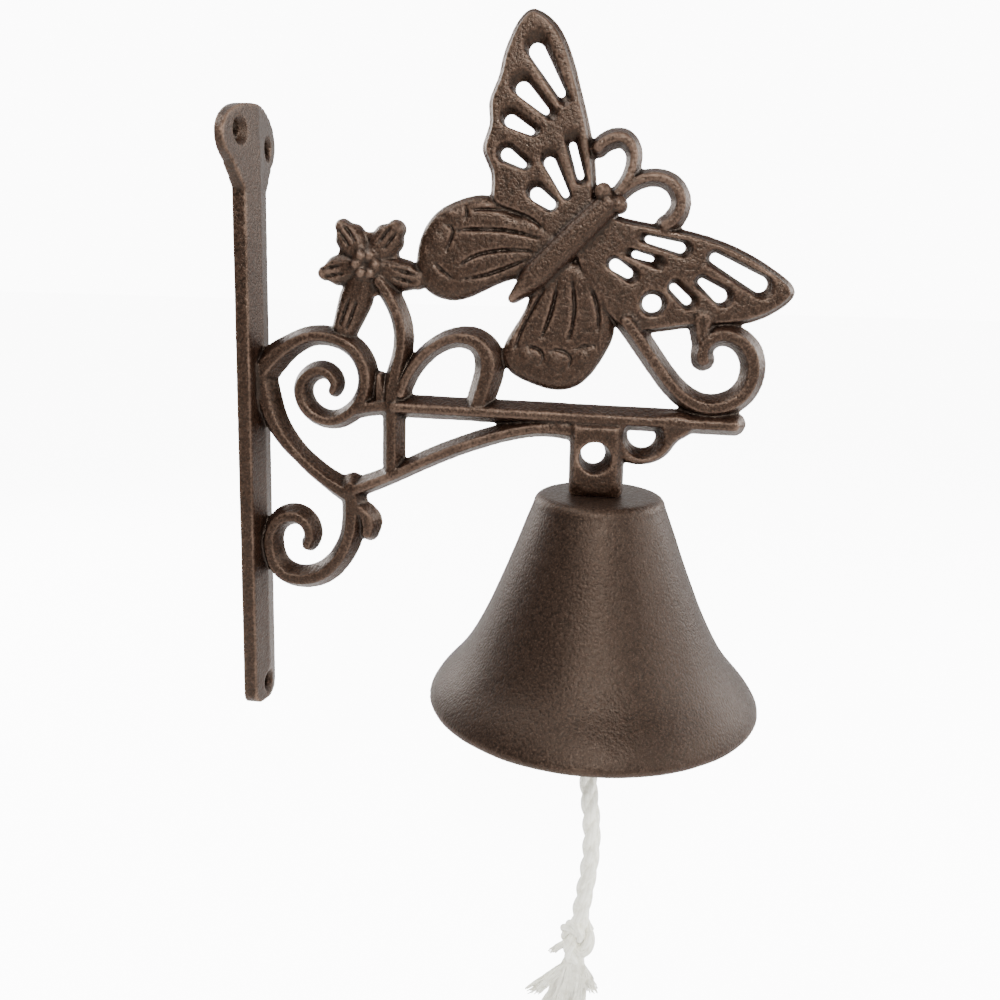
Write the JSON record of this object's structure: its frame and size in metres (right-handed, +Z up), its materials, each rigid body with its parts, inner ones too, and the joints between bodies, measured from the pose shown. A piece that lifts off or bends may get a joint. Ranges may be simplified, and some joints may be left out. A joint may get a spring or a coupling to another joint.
{
  "type": "wall bell",
  "caption": "Cast-iron wall bell on a scrolled bracket with a pierced butterfly and a flower, rung by a cotton rope on its clapper.",
  "frame": {"origin": "midway between the ear's two screw holes, on the wall plane", "axes": "+X out of the wall along the arm, +Y across the wall, +Z up"},
  "size_m": [0.1772, 0.11, 0.3483],
  "materials": {
    "iron": "dark brown rubbed patina, sand cast",
    "steel": "dull zinc",
    "cotton": "twisted white cotton"
  },
  "bodies": {
    "bracket_and_bell": {"bracket": "iron", "bell": "iron", "eye_bolt": "steel", "crown_washer": "steel", "crown_nut": "steel"},
    "link": {"clapper_link": "steel"},
    "clapper_and_rope": {"clapper": "iron", "rope_hitch": "cotton", "pull_rope": "cotton", "rope_knot": "cotton", "rope_tassel": "cotton"}
  },
  "joints": [
    {"name": "link_swing", "type": "hinge", "parent": "bracket_and_bell", "child": "link", "pos_m": [0.12, 0, -0.1334], "axis": [0, 1, 0], "range_deg": [-30, 30]},
    {"name": "clapper_swing", "type": "hinge", "parent": "link", "child": "clapper_and_rope", "pos_m": [0.12, 0, -0.1453], "axis": [1, 0, 0], "range_deg": [-30, 30]}
  ]
}
